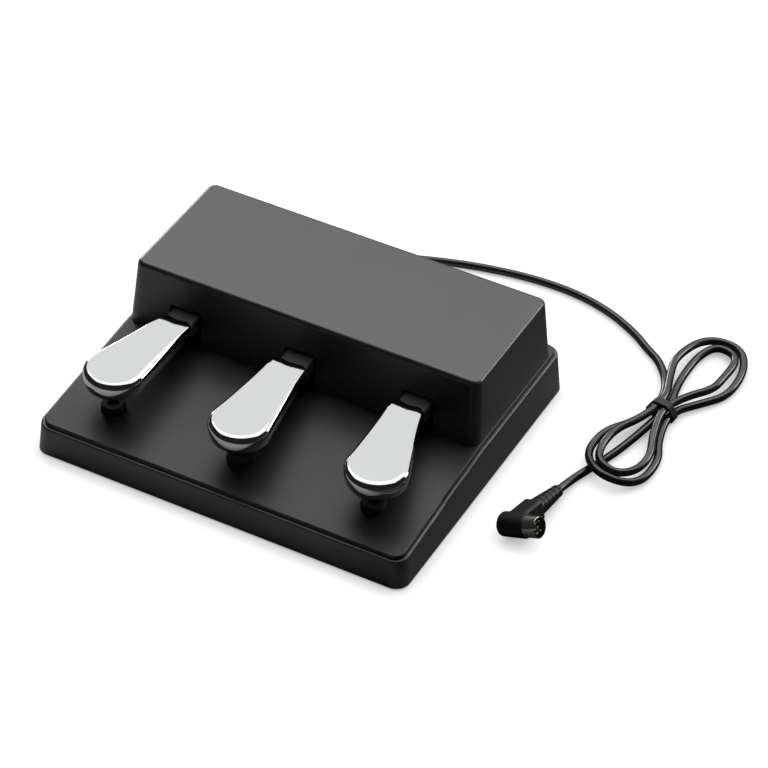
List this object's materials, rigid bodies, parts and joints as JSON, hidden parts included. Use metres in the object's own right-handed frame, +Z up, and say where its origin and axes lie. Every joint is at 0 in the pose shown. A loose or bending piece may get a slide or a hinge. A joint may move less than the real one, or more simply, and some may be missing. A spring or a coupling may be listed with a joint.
{
  "type": "piano pedal unit",
  "caption": "Free-standing triple pedal unit for a digital piano: chromed sprung pedals in a low black base, with a wound cord and a round plug.",
  "frame": {"origin": "on the floor, under the middle of the base's footprint", "axes": "+X to the player's right, +Y away from the player, +Z up"},
  "size_m": [0.3449, 0.2958, 0.0756],
  "materials": {
    "moulding": "fine-grained satin",
    "chrome": "polished",
    "steel": "zinc plated",
    "black_steel": "satin black",
    "rubber": "matt",
    "bearing_plastic": "natural",
    "spring_steel": "oiled",
    "felt": "pressed felt",
    "board": "green board",
    "black_plastic": "moulded",
    "cord_jacket": "glossy",
    "nickel": "nickel plated",
    "contact_gold": "plated"
  },
  "bodies": {
    "base": {"base_tray": "moulding", "deck_panel": "moulding", "housing": "moulding", "base_plate": "black_steel", "rubber_feet": "rubber", "deck_stoppers": "rubber", "pedal_chassis": "steel", "stop_rail": "steel", "rest_felts": "felt", "pivot_shaft": "steel", "shaft_clips": "spring_steel", "sensor_board": "board", "light_sensors": "black_plastic", "board_connector": "bearing_plastic", "board_screws": "steel", "housing_screws": "steel", "chassis_screws": "steel", "deck_screws": "steel", "plate_screws": "steel", "cord_gland": "rubber", "inner_lead": "cord_jacket", "hank_tie": "black_plastic", "plug_body": "black_plastic", "plug_relief": "rubber", "plug_shell": "nickel", "plug_insert": "black_plastic", "plug_pins": "contact_gold", "cord_run": "cord_jacket", "cord_hank": "cord_jacket", "cord_tail": "cord_jacket", "return_spring_left": "spring_steel", "return_spring_centre": "spring_steel", "return_spring_right": "spring_steel"},
    "pedal_left": {"pedal_head_left": "chrome", "pedal_arm_left": "black_steel", "pivot_bushes_left": "bearing_plastic", "head_screws_left": "steel", "sensor_flag_left": "black_plastic"},
    "pedal_centre": {"pedal_head_centre": "chrome", "pedal_arm_centre": "black_steel", "pivot_bushes_centre": "bearing_plastic", "head_screws_centre": "steel", "sensor_flag_centre": "black_plastic"},
    "pedal_right": {"pedal_head_right": "chrome", "pedal_arm_right": "black_steel", "pivot_bushes_right": "bearing_plastic", "head_screws_right": "steel", "sensor_flag_right": "black_plastic"}
  },
  "joints": [
    {"name": "press_left", "type": "hinge", "parent": "base", "child": "pedal_left", "pos_m": [0, 0.054, 0.046], "axis": [1, 0, 0], "range_deg": [0, 6.2], "stiffness_Nm_per_rad": 6.2, "springref_deg": -8.31, "deforming": ["return_spring_left"]},
    {"name": "press_centre", "type": "hinge", "parent": "base", "child": "pedal_centre", "pos_m": [0, 0.054, 0.046], "axis": [1, 0, 0], "range_deg": [0, 6.2], "stiffness_Nm_per_rad": 6.2, "springref_deg": -8.31, "deforming": ["return_spring_centre"]},
    {"name": "press_right", "type": "hinge", "parent": "base", "child": "pedal_right", "pos_m": [0, 0.054, 0.046], "axis": [1, 0, 0], "range_deg": [0, 6.2], "stiffness_Nm_per_rad": 6.2, "springref_deg": -8.31, "deforming": ["return_spring_right"]}
  ]
}
